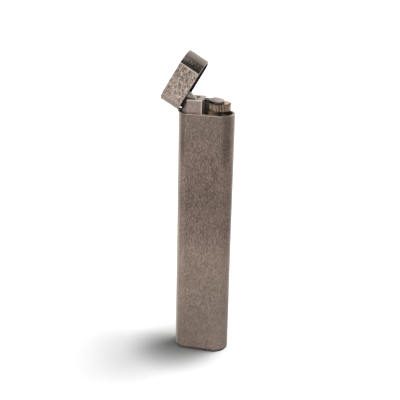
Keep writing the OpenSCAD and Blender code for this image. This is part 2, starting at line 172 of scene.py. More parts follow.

# A darker guard end and painted shade behind the wheel along X, painted shade on the head's side along Z
GUARD_END_DARK = (GUARD_CREASE, GUARD_CREASE - 0.06 * MM)
WHEEL_END_SHADE = (1.6 * MM, 4.0 * MM)
BELOW_BROW = (HEAD.z + 0.56 * MM, HEAD.z + 0.46 * MM)
ABOVE_NECK = (HEAD.z - 0.02 * MM, HEAD.z)

# The room that metal mirrors: where its pale ceiling and its dark corner are, and their ramps
OVERHEAD = Vector((-0.25, -0.3, 0.92))
DARK_CORNER = Vector((0.42, -0.5, 0.75))
CEILING = (0.82, 0.97, 0.0, 1.6)
CORNER = (0.75, 0.95, 1.0, 0.04)
WALL = (-0.9, 0.9, 0.15, 0.85)

# The key light, and the even light on everything
KEY_PLACE = (0.228, 0.13, 0.59)
KEY_AIM = (0, 0, 0.03)
KEY_SIDE = 0.34
KEY_POWER = 5.2
AMBIENT = 0.42

# The floor's paper: its reach and tones, and the painted shadow under the foot: where it is deepest and
# where it has passed
FLOOR_REACH = 3.0
PAPER = 0.8
PAPER_AT_FOOT = 0.39
PAPER_IN_METAL = 0.24
SHADOW_HEART = (-6 * MM, -3.5 * MM, 0)
SHADOW = (3 * MM, 19 * MM)

# Glow of the paper for the camera, and its sheen in metal: by distance, or by heading from the foot
NEAR_GLOW = (0.025, 0.1, 0.0, 0.42)
FAR_GLOW = (0.15, 0.6, 0.0, 0.5)
FOOT_SHEEN = (0.02, 0.1, 0.5, 1.0)
FRONT_SHEEN = (-0.8, 0.0, 0.22, 0.0)
LEFT_SHEEN = (-0.3, -0.8, 0.0, 0.3)
BACK_SHEEN = (0.78, 0.9, 0.32, 1.5)

# Camera: direction, distance and lens, found from the lighter's own edges
AZIMUTH = math.radians(12.985)
ELEVATION = math.radians(20.06)
ROLL = math.radians(1.317)
DISTANCE = 236.33 * MM
AIM_ASIDE = -1.395 * MM
AIM_HEIGHT = 46.93 * MM
FOCAL_PIXELS = 817.41
IMAGE_SIDE = 400
SENSOR = 36


def finished_piece(name, bm, material, body, node=None, sharp=30):
    """Makes the bmesh a piece that rides on its body and stands for a node of the frame."""
    bmesh.ops.remove_doubles(bm, verts=bm.verts, dist=WELD)
    bmesh.ops.recalc_face_normals(bm, faces=bm.faces)
    mesh = bpy.data.meshes.new(name)
    bm.to_mesh(mesh)
    bm.free()
    mesh.shade_smooth()
    mesh.set_sharp_from_angle(angle=math.radians(sharp))
    piece = bpy.data.objects.new(name, mesh)
    bpy.context.scene.collection.objects.link(piece)
    mesh.materials.append(material)
    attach(piece, body)
    if node:
        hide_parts(node)
    return piece


def carve(piece, *cutters, sharp=30):
    """Cuts the cutters' shapes out of a piece for good."""
    for bm in cutters:
        bmesh.ops.recalc_face_normals(bm, faces=bm.faces)
        mesh = bpy.data.meshes.new("cutter")
        bm.to_mesh(mesh)
        bm.free()
        cutter = bpy.data.objects.new("cutter", mesh)
        bpy.context.scene.collection.objects.link(cutter)
        cut = piece.modifiers.new("cut", "BOOLEAN")
        cut.object = cutter
        cut.solver = "EXACT"
        depsgraph = bpy.context.evaluated_depsgraph_get()
        carved = bpy.data.meshes.new_from_object(piece.evaluated_get(depsgraph))
        piece.modifiers.clear()
        piece.data = carved
        bpy.data.objects.remove(cutter)
    carved.shade_smooth()
    carved.set_sharp_from_angle(angle=math.radians(sharp))


def box(low, high):
    """Block between two corners."""
    bm = bmesh.new()
    bmesh.ops.create_cube(bm, size=1)
    size = Vector(high) - Vector(low)
    bmesh.ops.scale(bm, vec=size, verts=bm.verts)
    bmesh.ops.translate(bm, vec=(Vector(low) + Vector(high)) / 2, verts=bm.verts)
    return bm


def drum(centre, radius, low, high):
    """Upright cylinder."""
    bm = bmesh.new()
    bmesh.ops.create_cone(bm, cap_ends=True, segments=48, radius1=radius, radius2=radius,
                          depth=high - low)
    bmesh.ops.translate(bm, vec=(centre[0], centre[1], (low + high) / 2), verts=bm.verts)
    return bm


def crease_turn(inset):
    """Half the angle that a rounded end spans, from the middle of the end to its crease."""
    return math.asin((HALF_DEPTH - inset) / (END_RADIUS - inset))


def plan_loop(bm, stretches, height):
    """Closed loop seen from above, of corners (x, y) and arcs (centre, radius, start, turn)."""
    earlier = set(bm.edges)
    ends = []
    for stretch in stretches:
        if len(stretch) == 2:
            ends.append([bm.verts.new((*stretch, height))] * 2)
            continue
        centre, radius, start, turn = stretch
        first = bm.verts.new((centre[0] + radius * math.cos(start),
                              centre[1] + radius * math.sin(start), height))
        swept = bmesh.ops.spin(bm, geom=[first], cent=(*centre, height), axis=(0, 0, 1),
                               angle=turn, steps=ROUND_STEPS)
        ends.append((first, next(v for v in swept["geom_last"] if isinstance(v, bmesh.types.BMVert))))
    for (_, last), (first, _) in zip(ends, ends[1:] + ends[:1]):
        bm.edges.new((last, first))
    return [e for e in bm.edges if e not in earlier]


def prism(stretches, low, high):
    """Upright solid over a plan."""
    bm = bmesh.new()
    loop = plan_loop(bm, stretches, low)
    bmesh.ops.contextual_create(bm, geom=loop)
    raised = bmesh.ops.extrude_edge_only(bm, edges=loop)["geom"]
    verts = [g for g in raised if isinstance(g, bmesh.types.BMVert)]
    bmesh.ops.translate(bm, vec=(0, 0, high - low), verts=verts)
    top = set(verts)
    bmesh.ops.contextual_create(bm, geom=[e for e in bm.edges if top.issuperset(e.verts)])
    bmesh.ops.recalc_face_normals(bm, faces=bm.faces)
    return bm


def section_loop(bm, inset, height):
    """Closed loop round the case's section, drawn in from its outside by inset."""
    turn = crease_turn(inset)
    return plan_loop(bm, [((END_X, 0), END_RADIUS - inset, -turn, 2 * turn),
                          ((-END_X, 0), END_RADIUS - inset, math.pi - turn, 2 * turn)], height)


def draw_loop(bm, loop, step, next_step):
    """Extrudes a loop of the section from one (inset, height) to the next and returns the new loop."""
    verts = [g for g in bmesh.ops.extrude_edge_only(bm, edges=loop)["geom"]
             if isinstance(g, bmesh.types.BMVert)]
    ratio = crease_turn(next_step[0]) / crease_turn(step[0])
    radius = END_RADIUS - next_step[0]
    for vert in verts:
        side = math.copysign(1, vert.co.x)
        angle = math.atan2(vert.co.y, side * vert.co.x - END_X) * ratio
        vert.co = (side * (END_X + radius * math.cos(angle)), radius * math.sin(angle), next_step[1])
    fresh = set(verts)
    return list({e for v in verts for e in v.link_edges if fresh.issuperset(e.verts)})


def loft(bm, profile):
    """Skins the case's section through (inset, height) steps and returns the first and last loops."""
    first = loop = section_loop(bm, *profile[0])
    for step, next_step in zip(profile, profile[1:]):
        loop = draw_loop(bm, loop, step, next_step)
    return first, loop


def quarter(inset, height, radius, start, steps=6):
    """Points of a quarter round in a profile, from start degrees on, centred at (inset, height)."""
    turns = [math.radians(start + 90 * step / steps) for step in range(steps + 1)]
    return [(inset - radius * math.cos(a), height + radius * math.sin(a)) for a in turns]


def case_sleeve(material):
    """Outer sleeve with a rounded foot and a softly broken rim."""
    foot = 0.4 * MM
    rim_edge = 0.12 * MM
    inner_edge = 0.06 * MM
    inner_low = 0.02 * MM
    profile = quarter(foot, foot, foot, -90)
    profile += quarter(rim_edge, RIM - rim_edge, rim_edge, 0)
    profile += quarter(SLEEVE_WALL - inner_edge, RIM - inner_edge, inner_edge, 90, steps=3)
    profile += [(SLEEVE_WALL, inner_low), profile[0]]
    bm = bmesh.new()
    loft(bm, profile)
    sleeve = finished_piece("case_sleeve", bm, material, "case", "body_shell", sharp=CRISP)
    hinge_notch = box((OUTSIDE, -RIM_NOTCH_HALF, RIM - NOTCH_HEIGHT),
                      (RIM_NOTCH_X, RIM_NOTCH_HALF, RIM + PAST))
    carve(sleeve, hinge_notch, sharp=CRISP)


def lid_cap(material):
    """Deep-drawn lid, modelled shut and then swung open about its hinge."""
    low = RIM + LID_GAP
    top = low + LID_HEIGHT
    edge = 0.1 * MM
    inner_edge = 0.15 * MM
    mouth = low + 0.02 * MM
    inner_top = top - LID_WALL
    profile = [(LID_WALL + inner_edge, inner_top), (LID_WALL, inner_top - inner_edge)]
    profile += [(LID_WALL, low + edge), (LID_WALL - edge, low)]
    profile += quarter(edge, low + edge, edge, -90, steps=3)
    profile += quarter(LID_ROUND, top - LID_ROUND, LID_ROUND, 0, steps=8)
    bm = bmesh.new()
    for loop in loft(bm, profile):
        bmesh.ops.contextual_create(bm, geom=loop)
    cap = finished_piece("lid_cap", bm, material, "lid", "lid_shell", sharp=CRISP)
    for start in (-LID_NOTCH_HALF, TAB_HALF):
        end = start + LID_NOTCH_HALF - TAB_HALF
        notch = box((OUTSIDE, start, RIM - PAST), (LID_NOTCH_X, end, RIM + NOTCH_HEIGHT))
        carve(cap, notch, sharp=CRISP)
    bm = middle_knuckle()
    bm.from_mesh(cap.data)
    inside = bm.faces.layers.float.new("inside")
    middle = Vector((0, 0, (low + inner_top) / 2))
    for face in bm.faces:
        centre = face.calc_center_median()
        # Faces inside the lid and on its mouth edge get painted shade
        inside_shade = face.normal.dot(centre - middle) < 0 or centre.z < mouth
        face[inside] = float(inside_shade)
    bm.to_mesh(cap.data)
    bm.free()
    swing_open(cap.data)


def middle_knuckle():
    """Tube about the hinge's axis, rolled from the tab in the lid's notch."""
    bm = bmesh.new()
    corners = [bm.verts.new((HINGE.x + reach, y, HINGE.z)) for reach, y in
               ((KNUCKLE_BORE, -TAB_HALF), (KNUCKLE, -TAB_HALF),
                (KNUCKLE, TAB_HALF), (KNUCKLE_BORE, TAB_HALF))]
    sides = [bm.edges.new(pair) for pair in zip(corners, corners[1:] + corners[:1])]
    bmesh.ops.spin(bm, geom=corners + sides, cent=HINGE, axis=(0, 1, 0), angle=math.tau, steps=32,
                   use_merge=True)
    bmesh.ops.remove_doubles(bm, verts=bm.verts, dist=WELD)
    bmesh.ops.recalc_face_normals(bm, faces=bm.faces)
    return bm


def swing_open(mesh):
    """Turns a mesh modelled shut about the hinge, as far as the lid stands open."""
    about = Matrix.Translation(HINGE) @ Matrix.Rotation(-LID_OPEN, 4, "Y") @ Matrix.Translation(-HINGE)
    mesh.transform(about)


def guard_plan(inset):
    """Plan of the guard: an end that follows the case's, a square front corner and a round back one."""
    radius = END_RADIUS - GUARD_INSET - inset
    half = GUARD_HALF - inset
    turn = math.asin(half / radius)
    corner = (GUARD_RIGHT - GUARD_CORNER, GUARD_HALF - GUARD_CORNER)
    return [((-END_X, 0), radius, math.pi - turn, 2 * turn), (GUARD_RIGHT - inset, -half),
            (corner, GUARD_CORNER - inset, 0, math.pi / 2)]


def guard_hood(material):
    """Bent sheet guard, open towards the wheel and slotted for the lid's arm, its front corner round."""
    bm = prism(guard_plan(0), GUARD_LOW, GUARD_TOP)
    front = [e for e in bm.edges
             if all(abs(v.co.x - GUARD_RIGHT) < TOUCHING and v.co.y < 0 for v in e.verts)]
    bmesh.ops.bevel(bm, geom=front, offset=GUARD_FOLD, segments=4, profile=0.5,
                    affect="EDGES", material=-1)
    hood = finished_piece("guard_hood", bm, material, "case", "wind_guard", sharp=CRISP)
    ceiling = GUARD_TOP - GUARD_SHEET
    inside = prism(guard_plan(GUARD_SHEET), GUARD_LOW - PAST, ceiling)
    window = box((GUARD_RIGHT - PAST, WINDOW_FRONT, WINDOW_LOW),
                 (GUARD_RIGHT + PAST, WINDOW_BACK, ceiling))
    slot = box((ARM_SLOT[0], ARM_FRONT - ARM_SLACK, ceiling - 0.2 * MM),
               (ARM_SLOT[1], ARM_BACK + ARM_SLACK, GUARD_TOP + PAST))
    leaf_notch = box((OUTSIDE, -RIM_NOTCH_HALF, GUARD_LOW - PAST),
                     (-6.45 * MM, RIM_NOTCH_HALF, RIM - 0.05 * MM))
    port = drum(JET, PORT_RADIUS, RIM + 2 * MM, GUARD_TOP + PAST)
    carve(hood, inside, window, slot, leaf_notch, port, sharp=CRISP)


def lid_horn(material):
    """Curved arm of the lid, a flat bar swept about the hinge."""
    bm = bmesh.new()
    corners = [bm.verts.new((HINGE.x + reach, y, HINGE.z)) for reach, y in
               ((ARM_INNER, ARM_FRONT), (ARM_OUTER, ARM_FRONT),
                (ARM_OUTER, ARM_BACK), (ARM_INNER, ARM_BACK))]
    end = bm.faces.new(corners)
    turn = Matrix.Rotation(-ARM_TIP, 3, "Y")
    bmesh.ops.rotate(bm, cent=HINGE, matrix=turn, verts=corners)
    bmesh.ops.spin(bm, geom=[end], cent=HINGE, axis=(0, -1, 0), angle=ARM_ROOT - ARM_TIP,
                   steps=40)
    ceiling = RIM + LID_GAP + LID_HEIGHT - LID_WALL - LID_PLATE
    bmesh.ops.bisect_plane(bm, geom=bm.verts[:] + bm.edges[:] + bm.faces[:], dist=TOUCHING,
                           plane_co=(0, 0, ceiling), plane_no=(0, 0, 1), clear_outer=True)
    bmesh.ops.holes_fill(bm, edges=[e for e in bm.edges if e.is_boundary])
    bmesh.ops.remove_doubles(bm, verts=bm.verts, dist=WELD)
    bmesh.ops.recalc_face_normals(bm, faces=bm.faces)
    rims = [e for e in bm.edges if len(e.link_faces) == 2 and e.calc_face_angle(0) > math.radians(50)]
    bmesh.ops.bevel(bm, geom=rims, offset=ARM_EDGE, segments=2, profile=0.5,
                    affect="EDGES", material=-1)
    horn = finished_piece("lid_horn", bm, material, "lid", "lid_arm")
    swing_open(horn.data)


def raise_top(bm, lift, spread):
    """Draws the topmost face up and spreads or narrows it about the wheel's axis."""
    top = max(bm.faces, key=lambda f: f.calc_center_median().z)
    drawn = bmesh.ops.extrude_discrete_faces(bm, faces=[top])["faces"][0]
    bmesh.ops.translate(bm, vec=(0, 0, lift), verts=drawn.verts)
    bmesh.ops.scale(bm, vec=(spread, spread, 1), verts=drawn.verts)


def knurled_wheel(material):
    """Thumb wheel: straight knurl with broken corners, a bore and a recess for the striker."""
    tooth_steps = (0.0, 0.0, 0.8, 1.0)
    narrow = 1 - WHEEL_CHAMFER / WHEEL_RADIUS
    points = len(tooth_steps) * KNURL_TEETH
    bm = bmesh.new()
    bmesh.ops.create_cone(bm, cap_ends=True, segments=points, radius1=WHEEL_RADIUS * narrow,
                          radius2=WHEEL_RADIUS, depth=WHEEL_CHAMFER)
    for vert in bm.verts:
        point = round(math.atan2(vert.co.y, vert.co.x) / math.tau * points)
        vert.co.xy *= 1 - tooth_steps[point % len(tooth_steps)] * KNURL_DEPTH / WHEEL_RADIUS
    raise_top(bm, WHEEL_TOP - WHEEL_LOW - 2 * WHEEL_CHAMFER, 1)
    raise_top(bm, WHEEL_CHAMFER, narrow)
    bmesh.ops.translate(bm, vec=(WHEEL_X, 0, WHEEL_LOW + WHEEL_CHAMFER / 2), verts=bm.verts)
    wheel = finished_piece("knurled_wheel", bm, material, "wheel", "thumb_wheel")
    centre = (WHEEL_X, 0)
    carve(wheel, drum(centre, WHEEL_BORE, WHEEL_LOW - PAST, WHEEL_TOP + PAST),
          drum(centre, STRIKER_RECESS, WHEEL_LOW - PAST, WHEEL_LOW + STRIKER_DEPTH))


def join(bm, other):
    """Adds another bmesh's shape to bm."""
    mesh = bpy.data.meshes.new("joined")
    other.to_mesh(mesh)
    other.free()
    bm.from_mesh(mesh)
    bpy.data.meshes.remove(mesh)


def domed_head():
    """Disc with an upright side and a crowned top, cut straight at its left, where the top droops."""
    crown = (HEAD_RADIUS**2 + HEAD_RISE**2) / (2 * HEAD_RISE)
    shoulder = 0.1 * MM
    steps = 10
    cuts = 8
    bm = bmesh.new()
    profile = [(HEAD_RADIUS, 0), (HEAD_RADIUS, HEAD_WALL - shoulder),
               (HEAD_RADIUS - 0.3 * shoulder, HEAD_WALL)]
    for step in range(steps):
        reach = (HEAD_RADIUS - shoulder) * (1 - step / steps)
        profile.append((reach, HEAD_WALL + HEAD_RISE - crown + math.sqrt(crown**2 - reach**2)))
    profile.append((0, HEAD_WALL + HEAD_RISE))
    verts = [bm.verts.new((HEAD.x + reach, HEAD.y, HEAD.z + height)) for reach, height in profile]
    edges = [bm.edges.new(pair) for pair in zip(verts, verts[1:])]
    bmesh.ops.spin(bm, geom=verts + edges, cent=HEAD, axis=(0, 0, 1), angle=math.tau, steps=128,
                   use_merge=True)
    bmesh.ops.remove_doubles(bm, verts=bm.verts, dist=WELD)
    bmesh.ops.holes_fill(bm, edges=[e for e in bm.edges if e.is_boundary])
    on_cut = Vector((*NECK_FRONT, HEAD.z))
    for step in range(cuts + 1):
        bmesh.ops.bisect_plane(bm, geom=bm.verts[:] + bm.edges[:] + bm.faces[:], dist=TOUCHING,
                               plane_co=on_cut - HEAD_CUT * DROOP_REACH * step / cuts,
                               plane_no=HEAD_CUT, clear_outer=step == 0)
    bmesh.ops.holes_fill(bm, edges=[e for e in bm.edges if e.is_boundary])
    for vert in bm.verts:
        inward = (on_cut - vert.co).dot(HEAD_CUT) / DROOP_REACH
        if inward < 1 and vert.co.z > HEAD.z + DROOP_LOW:
            fall = DROOP_FALL * (1 - max(0, inward)) ** 1.5
            vert.co.z = max(vert.co.z - fall, HEAD.z + DROOP_LOW)
    return bm


def bridge_head(material):
    """Domed head over the wheel, its neck under the guard's roof, and the two legs that carry it."""
    bm = domed_head()
    neck_top = HEAD.z + NECK_PLATE
    neck = box((NECK_LEFT, HEAD.y - HEAD_RADIUS, HEAD.z), (HEAD.x, WINDOW_BACK, neck_top))
    for corner, across in ((NECK_FRONT, HEAD_CUT), ((BACK_LEG[1], WINDOW_BACK), NECK_BACK_CUT)):
        bmesh.ops.bisect_plane(neck, geom=neck.verts[:] + neck.edges[:] + neck.faces[:], dist=TOUCHING,
                               plane_co=(*corner, 0), plane_no=across, clear_outer=True)
        bmesh.ops.holes_fill(neck, edges=[e for e in neck.edges if e.is_boundary])
    tongue = box((TONGUE_LEFT, TONGUE_FRONT, HEAD.z), (GUARD_RIGHT, WINDOW_BACK, neck_top))
    front_leg = box((GUARD_RIGHT - GUARD_SHEET, FRONT_LEG[0], WINDOW_LOW),
                    (GUARD_RIGHT, FRONT_LEG[1], HEAD.z))
    back_leg = box((BACK_LEG[0], WINDOW_BACK - BACK_LEG_SHEET, GUARD_LOW),
                   (BACK_LEG[1], WINDOW_BACK, HEAD.z + 0.1 * MM))
    for part in (neck, tongue, front_leg, back_leg):
        join(bm, part)
    finished_piece("bridge_head", bm, material, "case", "wheel_bridge", sharp=35)


def pressed_spring(node_name):
    """A spring in its node's shape, copied to ride on the case in place of the node."""
    spring = bpy.data.objects.new(node_name + "_coil", frame["nodes"][node_name].data.copy())
    bpy.context.scene.collection.objects.link(spring)
    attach(spring, "case")
    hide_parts(node_name)
    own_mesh(spring)


def feed(tree, made, values):
    """Gives a node's inputs their values, linking those that are sockets."""
    for key, value in values.items():
        if isinstance(value, bpy.types.NodeSocket):
            tree.links.new(value, made.inputs[key])
        else:
            made.inputs[key].default_value = value


def put(tree, kind, values=None, **settings):
    """Adds a shader node with its properties and the values of its inputs."""
    made = tree.nodes.new(kind)
    for key, value in settings.items():
        setattr(made, key, value)
    feed(tree, made, values or {})
    return made


def math_node(tree, operation, *values, clamp=False):
    """Result of a sum or the like on numbers and sockets."""
    return put(tree, "ShaderNodeMath", dict(enumerate(values)), operation=operation,
               use_clamp=clamp).outputs[0]


def mix_colour(tree, factor, first, second):
    """Colour between two, numbered as the mix node numbers its colour sockets."""
    return put(tree, "ShaderNodeMix", {0: factor, 6: first, 7: second}, data_type="RGBA").outputs[2]


def remap(tree, value, low, high, to_low=0.0, to_high=1.0):
    """Carries a value from one range to another and stops at its ends."""
    return put(tree, "ShaderNodeMapRange", {0: value, 1: low, 2: high, 3: to_low, 4: to_high},
               clamp=True).outputs[0]


def effect(name, inputs, outputs):
    """Starts a node group with named sockets and returns it with its input and output nodes."""
    group = bpy.data.node_groups.new(name, "ShaderNodeTree")
    for socket, default in inputs.items():
        kind = "NodeSocketVector" if socket == "Vector" else "NodeSocketFloat"
        made = group.interface.new_socket(socket, in_out="INPUT", socket_type=kind)
        if kind == "NodeSocketFloat":
            made.default_value = default
    for socket in outputs:
        group.interface.new_socket(socket, in_out="OUTPUT", socket_type="NodeSocketFloat")
    return group, group.nodes.new("NodeGroupInput"), group.nodes.new("NodeGroupOutput")


def fine_grain_group():
    """Satin grain: short scratches that run along Z of the pattern, and scattered pits and specks."""
    group, given, out = effect("fine grain", {"Vector": 0, "Size": 0.0004, "Stretch": 3.0},
                               ("Scratches", "Specks", "Relief"))
    density = math_node(group, "DIVIDE", 1.0, given.outputs["Size"])
    squeeze = math_node(group, "DIVIDE", 1.0, given.outputs["Stretch"])
    scale = put(group, "ShaderNodeCombineXYZ", {"X": 1.0, "Y": 1.0, "Z": squeeze}).outputs[0]
    along = put(group, "ShaderNodeVectorMath", {0: given.outputs["Vector"], 1: scale},
                operation="MULTIPLY").outputs[0]
    scratches = put(group, "ShaderNodeTexNoise", {"Vector": along, "Scale": density, "Detail": 3.0,
                                                  "Roughness": 0.6}).outputs[0]
    specks = put(group, "ShaderNodeTexNoise", {"Vector": given.outputs["Vector"], "Scale": density,
                                               "Detail": 2.0, "Roughness": 0.7}).outputs[0]
    relief = math_node(group, "ADD", scratches, math_node(group, "MULTIPLY", specks, 0.8))
    group.links.new(remap(group, scratches, 0.3, 0.7), out.inputs["Scratches"])
    group.links.new(remap(group, specks, 0.3, 0.7), out.inputs["Specks"])
    group.links.new(relief, out.inputs["Relief"])
    return group


def bark_group():
    """Coarse bark: ragged flakes with dark seams between them and bright tops."""
    group, given, out = effect("bark", {"Vector": 0, "Size": 0.0009}, ("Flakes", "Tops", "Relief"))
    density = math_node(group, "DIVIDE", 1.0, given.outputs["Size"])
    warp = put(group, "ShaderNodeTexNoise", {"Vector": given.outputs["Vector"], "Scale": density,
                                             "Detail": 3.0, "Roughness": 0.7, "Distortion": 1.2})
    cells = put(group, "ShaderNodeTexVoronoi", {"Vector": given.outputs["Vector"], "Scale": density,
                                                "Randomness": 1.0}, feature="F1")
    flakes = math_node(group, "ADD", math_node(group, "MULTIPLY", cells.outputs["Distance"], 0.6),
                       warp.outputs[0])
    group.links.new(remap(group, flakes, 0.45, 0.95), out.inputs["Flakes"])
    group.links.new(remap(group, warp.outputs[0], 0.53, 0.66), out.inputs["Tops"])
    group.links.new(flakes, out.inputs["Relief"])
    return group


def tarnish_group():
    """Clouds of tarnish: broad patches broken up by smaller ones."""
    group, given, out = effect("tarnish", {"Vector": 0, "Size": 0.01}, ("Cloud",))
    density = math_node(group, "DIVIDE", 1.0, given.outputs["Size"])
    broad = put(group, "ShaderNodeTexNoise", {"Vector": given.outputs["Vector"], "Scale": density,
                                              "Detail": 5.0, "Roughness": 0.62}).outputs[0]
    group.links.new(remap(group, broad, 0.32, 0.68), out.inputs["Cloud"])
    return group


def edge_wear_group():
    """Rubbed edges: finds where the surface turns sharply within a given radius."""
    group, given, out = effect("edge wear", {"Radius": 0.0003, "Full": 0.9}, ("Edge",))
    rounded = put(group, "ShaderNodeBevel", {"Radius": given.outputs["Radius"]}, samples=6).outputs[0]
    plain = put(group, "ShaderNodeNewGeometry").outputs["Normal"]
    facing = put(group, "ShaderNodeVectorMath", {0: rounded, 1: plain}, operation="DOT_PRODUCT")
    edge = remap(group, facing.outputs["Value"], 0.995, given.outputs["Full"])
    group.links.new(edge, out.inputs["Edge"])
    return group


FINE_GRAIN = fine_grain_group()
BARK = bark_group()
TARNISH = tarnish_group()
EDGE_WEAR = edge_wear_group()


def use(tree, group, values):
    """Adds one of the shared effects."""
    return put(tree, "ShaderNodeGroup", values, node_tree=group)


def pattern_place(tree, turn=0.0):
    """Object coordinates, turned back about the hinge so that a pattern can follow the open lid."""
    place = put(tree, "ShaderNodeTexCoord").outputs["Object"]
    if not turn:
        return place
    shift = HINGE - Matrix.Rotation(turn, 3, "Y") @ HINGE
    return put(tree, "ShaderNodeMapping", {"Vector": place, "Rotation": (0, turn, 0),
                                           "Location": shift}).outputs[0]


def coordinates(tree, place):
    """The three numbers of a place."""
    parts = put(tree, "ShaderNodeSeparateXYZ", {0: place})
    return parts.outputs["X"], parts.outputs["Y"], parts.outputs["Z"]


def start_material(name):
    """New material with its node tree and its surface shader."""
    material = bpy.data.materials.new(name)
    material.use_nodes = True
    tree = material.node_tree
    shader = tree.nodes["Principled BSDF"]
    return material, tree, shader


def grey(value):
    """Grey as a colour socket takes it."""
    return (value, value, value, 1)


def blacken(tree, colour, mask, depth):
    """Darkens a colour where the mask is 1, down to depth of its own value."""
    factor = remap(tree, mask, 0.0, 1.0, 1.0, depth)
    return put(tree, "ShaderNodeVectorMath", {0: colour, 1: factor}, operation="MULTIPLY").outputs[0]


def satin_metal(name, clean, tarnished, rubbed_and_highlight, roughness, grain=0.35 * MM, stretch=4.0,
                patches=9 * MM, contrast=0.3, relief=0.03 * MM, wear=0.25 * MM, full_wear=0.9,
                bright_share=0.7, metallic=1.0, turn=0.0, highlight_mask=None, dark_mask=None, dark_depth=0.4):
    """Metal with a satin grain, clouds of tarnish, edges that wear bright, and painted highlights and
    darkening from masks.
    """
    material, tree, shader = start_material(name)
    place = pattern_place(tree, turn)
    cloud = use(tree, TARNISH, {"Vector": place, "Size": patches}).outputs["Cloud"]
    marks = use(tree, FINE_GRAIN, {"Vector": place, "Size": grain, "Stretch": stretch})
    edge = use(tree, EDGE_WEAR, {"Radius": wear, "Full": full_wear}).outputs["Edge"]
    # Masks add painted highlights to the edges that wear bright
    if highlight_mask:
        edge = math_node(tree, "MAXIMUM", edge, highlight_mask(tree))
    colour = mix_colour(tree, cloud, (*tarnished, 1), (*clean, 1))
    shade = remap(tree, marks.outputs["Scratches"], 0.0, 1.0, 1 - contrast, 1 + contrast)
    fleck = remap(tree, marks.outputs["Specks"], 0.0, 1.0, 1 - 0.6 * contrast, 1 + 0.6 * contrast)
    toned = put(tree, "ShaderNodeVectorMath", {0: colour, 1: math_node(tree, "MULTIPLY", shade, fleck)},
                operation="MULTIPLY").outputs[0]
    colour = mix_colour(tree, math_node(tree, "MULTIPLY", edge, bright_share), toned, (*rubbed_and_highlight, 1))
    # A mask here adds painted shade or other darkening
    if dark_mask:
        colour = blacken(tree, colour, dark_mask(tree), dark_depth)
    tree.links.new(colour, shader.inputs["Base Color"])
    shader.inputs["Metallic"].default_value = metallic
    gloss = remap(tree, marks.outputs["Scratches"], 0.0, 1.0, roughness - 0.06, roughness + 0.06)
    tree.links.new(gloss, shader.inputs["Roughness"])
    bump = put(tree, "ShaderNodeBump", {"Height": marks.outputs["Relief"], "Distance": relief,
                                        "Strength": 0.6})
    tree.links.new(bump.outputs[0], shader.inputs["Normal"])
    return material


def guard_end_dark(tree):
    """1 on the guard's rounded end, beyond its crease, which is darkened."""
    across = coordinates(tree, pattern_place(tree))[0]
    return remap(tree, across, *GUARD_END_DARK)


def wheel_end_shade(tree):
    """1 in the narrow end behind the wheel, where shade is painted on the deck and tank."""
    return remap(tree, coordinates(tree, pattern_place(tree))[0], *WHEEL_END_SHADE)


def brow_shade(tree):
    """1 on the upright side of the bridge's head, below its brow that wears bright: painted shade."""
    height = coordinates(tree, pattern_place(tree))[2]
    return within(tree, height, BELOW_BROW, ABOVE_NECK)


def within(tree, value, entry, leave):
    """Product of two ramps of a value, 0 outside both."""
    return math_node(tree, "MULTIPLY", remap(tree, value, *entry), remap(tree, value, *leave))


def reaches(tree, value, limit, width=0.15 * MM, soft=0.2 * MM):
    """1 where a value comes within a width of its limit."""
    return remap(tree, value, limit - width - soft, limit - width)


def guard_highlight(tree):
    """1 along the guard's front brow and its front corner: a painted highlight."""
    x, y, z = coordinates(tree, pattern_place(tree))
    front = reaches(tree, math_node(tree, "MULTIPLY", y, -1.0), GUARD_HALF)
    other = math_node(tree, "MAXIMUM", reaches(tree, z, GUARD_TOP), reaches(tree, x, GUARD_RIGHT))
    return math_node(tree, "MULTIPLY", front, other)


def case_highlight_and_bands(tree):
    """1 on the rim of the case, a painted highlight, and partly so on its hinge end, a painted highlight
    too; paler towards its foot and its top.
    """
    x, _, z = coordinates(tree, pattern_place(tree))
    hinge_end = remap(tree, x, *HINGE_END_HIGHLIGHT)
    low = math_node(tree, "ADD", remap(tree, z, *LOWER_PALER), remap(tree, z, *FOOT_PALER))
    paler_bands = math_node(tree, "ADD", low, remap(tree, z, *UPPER_PALER))
    # The rim's bright line is a painted highlight
    return math_node(tree, "MAXIMUM", math_node(tree, "MAXIMUM", hinge_end, paler_bands),
                     reaches(tree, z, RIM, 0.08 * MM, 0.12 * MM))


def case_shade_and_band(tree):
    """1 on the foot's round, a painted contact shadow; less on the ends beside the top creases, painted
    shade, and round the middle, a darker band.
    """
    x, _, z = coordinates(tree, pattern_place(tree))
    hinge_end, wheel_end = [within(tree, x, *end) for end in (HINGE_END_DARK, WHEEL_END_DARK)]
    ends = math_node(tree, "MULTIPLY", math_node(tree, "MAXIMUM", hinge_end, wheel_end),
                     remap(tree, z, *TOP_DARK))
    marks = math_node(tree, "MAXIMUM", ends, within(tree, z, *MIDDLE_DARK))
    # The foot's dark line is a painted contact shadow
    return math_node(tree, "MAXIMUM", marks, remap(tree, z, *FOOT_LINE))


def groove_dark(tree):
    """1 in the grooves of the wheel's knurl, which are darkened, and 0 on the tips of its teeth."""
    centre = put(tree, "ShaderNodeMapping", {"Vector": pattern_place(tree), "Location": (-WHEEL_X, 0, 0),
                                             "Scale": (1, 1, 0)}).outputs[0]
    reach = put(tree, "ShaderNodeVectorMath", {0: centre}, operation="LENGTH").outputs["Value"]
    side = remap(tree, reach, WHEEL_RADIUS, WHEEL_RADIUS - KNURL_DEPTH)
    outer = remap(tree, reach, WHEEL_RADIUS - 1.3 * KNURL_DEPTH, WHEEL_RADIUS - 1.1 * KNURL_DEPTH)
    return math_node(tree, "MULTIPLY", side, outer)


